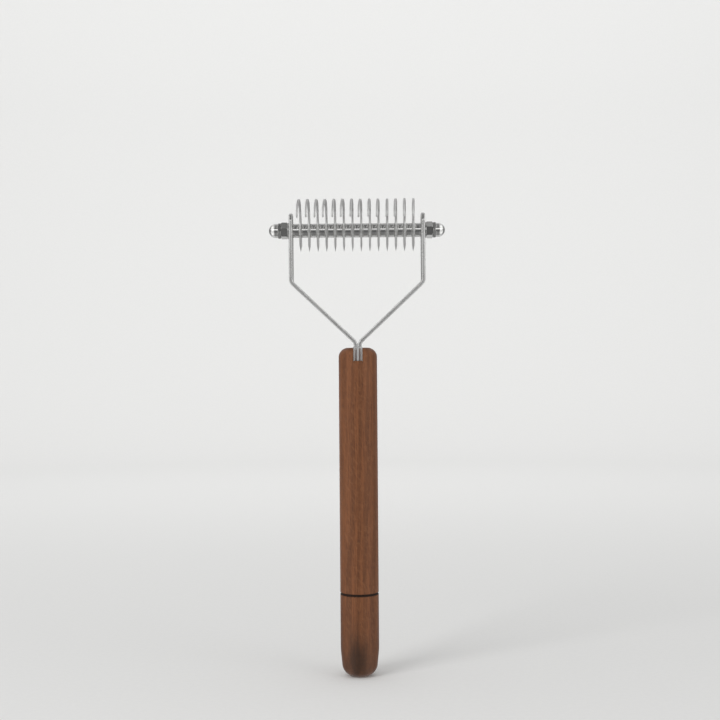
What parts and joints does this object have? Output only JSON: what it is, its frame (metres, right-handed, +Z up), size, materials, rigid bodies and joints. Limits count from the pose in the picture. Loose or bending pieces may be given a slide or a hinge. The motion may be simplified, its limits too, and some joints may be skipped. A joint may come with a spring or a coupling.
{
  "type": "dematting comb",
  "caption": "Hand comb with a row of hooked blades and spacer tubes on a threaded axle, held across a bent steel fork on a turned wooden handle.",
  "frame": {"origin": "centre of the flat at the bottom end of the handle", "axes": "+Z up the handle to the blades, +X along the blade axle to the right cap nut, -Y towards the tips of the hooks"},
  "size_m": [0.066, 0.0218, 0.1777],
  "materials": {
    "walnut": "satin lacquer over turned reddish-brown wood",
    "satin_steel": "tumbled stainless strip",
    "blade_steel": "ground stainless blade",
    "polished_steel": "polished stainless tube and sheet",
    "plated_steel": "bright nickel-plated nuts",
    "threaded_steel": "cut thread, light oil"
  },
  "bodies": {
    "frame": {"handle": "walnut", "neck_collar": "polished_steel", "fork_left": "satin_steel", "fork_right": "satin_steel"},
    "blade_pack": {"axle_rod": "threaded_steel", "blade_01": "blade_steel", "blade_02": "blade_steel", "blade_03": "blade_steel", "blade_04": "blade_steel", "blade_05": "blade_steel", "blade_06": "blade_steel", "blade_07": "blade_steel", "blade_08": "blade_steel", "blade_09": "blade_steel", "blade_10": "blade_steel", "blade_11": "blade_steel", "blade_12": "blade_steel", "blade_13": "blade_steel", "blade_14": "blade_steel", "spacer_01": "polished_steel", "spacer_02": "polished_steel", "spacer_03": "polished_steel", "spacer_04": "polished_steel", "spacer_05": "polished_steel", "spacer_06": "polished_steel", "spacer_07": "polished_steel", "spacer_08": "polished_steel", "spacer_09": "polished_steel", "spacer_10": "polished_steel", "spacer_11": "polished_steel", "spacer_12": "polished_steel", "spacer_13": "polished_steel", "spacer_14": "polished_steel", "spacer_15": "polished_steel"},
    "left_washer": {"washer_left": "satin_steel"},
    "left_nuts": {"hex_nut_left": "plated_steel", "cap_nut_left": "plated_steel"},
    "right_washer": {"washer_right": "satin_steel"},
    "right_nuts": {"hex_nut_right": "plated_steel", "cap_nut_right": "plated_steel"}
  },
  "joints": [
    {"name": "blade_pack_turn", "type": "hinge", "parent": "frame", "child": "blade_pack", "pos_m": [0, 0, 0.1668], "axis": [1, 0, 0], "continuous": true},
    {"name": "right_washer_travel", "type": "slide", "parent": "frame", "child": "right_washer", "axis": [1, 0, 0], "range_m": [0, 0.0015]},
    {"name": "right_nuts_turn", "type": "hinge", "parent": "right_washer", "child": "right_nuts", "pos_m": [0.027, 0, 0.1668], "axis": [1, 0, 0], "range_deg": [0, 1080]},
    {"name": "left_washer_travel", "type": "slide", "parent": "frame", "child": "left_washer", "axis": [-1, 0, 0], "range_m": [0, 0.0015]},
    {"name": "left_nuts_turn", "type": "hinge", "parent": "left_washer", "child": "left_nuts", "pos_m": [-0.027, 0, 0.1668], "axis": [-1, 0, 0], "range_deg": [0, 1080]}
  ],
  "couplings": [
    {"joint": "right_nuts_turn", "follows": "right_washer_travel", "rad_per_m": 12566},
    {"joint": "left_nuts_turn", "follows": "left_washer_travel", "rad_per_m": 12566}
  ]
}
